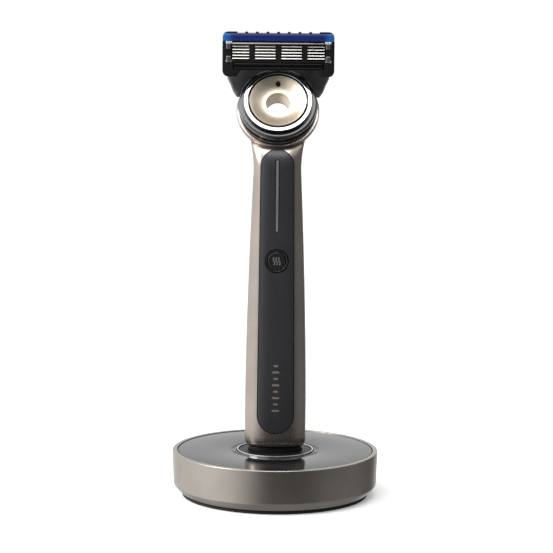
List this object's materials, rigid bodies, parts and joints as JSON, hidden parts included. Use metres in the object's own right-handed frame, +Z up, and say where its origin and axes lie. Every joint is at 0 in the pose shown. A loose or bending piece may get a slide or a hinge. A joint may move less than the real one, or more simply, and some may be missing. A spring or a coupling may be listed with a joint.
{
  "type": "cartridge razor",
  "caption": "Heated cartridge razor with a slim metal handle and pivoting round head, standing upright on a round charging dock.",
  "frame": {"origin": "on the dock's axis, on the surface that the dock stands on", "axes": "+Z up along the dock's axis and the handle; -Y is the front, with the button and the blades; +X is to the right seen from the front"},
  "size_m": [0.0776, 0.0776, 0.1742],
  "materials": {
    "handle_metal": "dark champagne metal, fine satin",
    "dock_metal": "brushed round the wall, warm grey",
    "chrome": "polished",
    "gold": "polished pale rose gold, turned",
    "steel": "plain steel",
    "bar_steel": "dark polished steel",
    "black_gloss": "piano black",
    "black_satin": "satin moulded",
    "yoke_grey": "satin moulded",
    "strip_blue": "waxy dark blue, lighter at both ends",
    "rubber": "matte",
    "light": "milky, unlit",
    "board": "coated circuit board",
    "contact_brass": "plated",
    "cell_wrap": "shrink wrap",
    "ribbon": "amber film"
  },
  "bodies": {
    "dock": {"dock_shell": "dock_metal", "dock_top_plate": "black_gloss", "dock_trim_ring": "chrome", "dock_cradle": "black_satin", "dock_base_plate": "black_satin", "dock_foot_pad": "rubber", "dock_ballast": "steel", "dock_circuit_board": "board", "dock_power_inlet": "steel", "dock_charge_pin_left": "contact_brass", "dock_charge_pin_right": "contact_brass", "dock_screw_1": "steel", "dock_screw_2": "steel", "dock_screw_3": "steel"},
    "handle": {"handle_shell": "handle_metal", "front_panel": "black_gloss", "light_bar": "light", "button_bezel": "black_gloss", "button_seal": "rubber", "tact_switch": "black_satin", "chassis": "black_satin", "battery": "cell_wrap", "main_board": "board", "led_strip": "light", "flex_cable": "ribbon", "head_contact_pin_left": "contact_brass", "head_contact_pin_right": "contact_brass", "end_cap": "black_satin", "charge_pad_left": "contact_brass", "charge_pad_right": "contact_brass", "end_cap_seal": "rubber"},
    "button": {"power_button": "black_gloss"},
    "disc": {"pivot_ring": "black_gloss", "chrome_ring": "chrome", "gold_dish": "gold", "hub_tube": "steel", "rear_cap": "black_gloss", "centering_spring": "steel", "holding_magnet_left": "steel", "holding_magnet_right": "steel"},
    "yoke": {"yoke": "yoke_grey", "plunger_spring": "steel", "pivot_pin_left": "steel", "pivot_pin_right": "steel"},
    "plunger": {"pivot_plunger": "black_satin"},
    "cartridge": {"cartridge_housing": "black_satin", "blade_1": "steel", "blade_2": "steel", "blade_3": "steel", "blade_4": "steel", "blade_5": "steel", "trimmer_blade": "steel", "lubrication_strip": "strip_blue", "cap_rail": "steel", "warming_bar": "bar_steel", "heater": "ribbon", "guard_fins": "rubber", "clip_left": "chrome", "clip_right": "chrome"}
  },
  "joints": [
    {"name": "handle_lift", "type": "slide", "parent": "dock", "child": "handle", "axis": [0, 0, 1], "range_m": [0, 0.04]},
    {"name": "button_press", "type": "slide", "parent": "handle", "child": "button", "axis": [0, 1, 0], "range_m": [0, 0.0006], "stiffness_N_per_m": 1500, "springref_m": -0.001},
    {"name": "disc_turn", "type": "hinge", "parent": "handle", "child": "disc", "pos_m": [0, 0, 0.1484], "axis": [0, -0.8387, 0.5446], "range_deg": [-12, 12], "stiffness_Nm_per_rad": 0.08},
    {"name": "yoke_release", "type": "slide", "parent": "disc", "child": "yoke", "axis": [0, 0.5446, 0.8387], "range_m": [0, 0.02]},
    {"name": "cartridge_tilt", "type": "hinge", "parent": "yoke", "child": "cartridge", "pos_m": [0, 0.0063, 0.166], "axis": [-1, 0, 0], "range_deg": [0, 40], "stiffness_Nm_per_rad": 0.02, "springref_deg": -22.92},
    {"name": "plunger_push", "type": "slide", "parent": "yoke", "child": "plunger", "axis": [0, 1, 0], "range_m": [0, 0.00175], "deforming": ["plunger_spring"]}
  ],
  "couplings": [
    {"joint": "plunger_push", "follows": "cartridge_tilt", "m_per_rad": 0.00244}
  ]
}
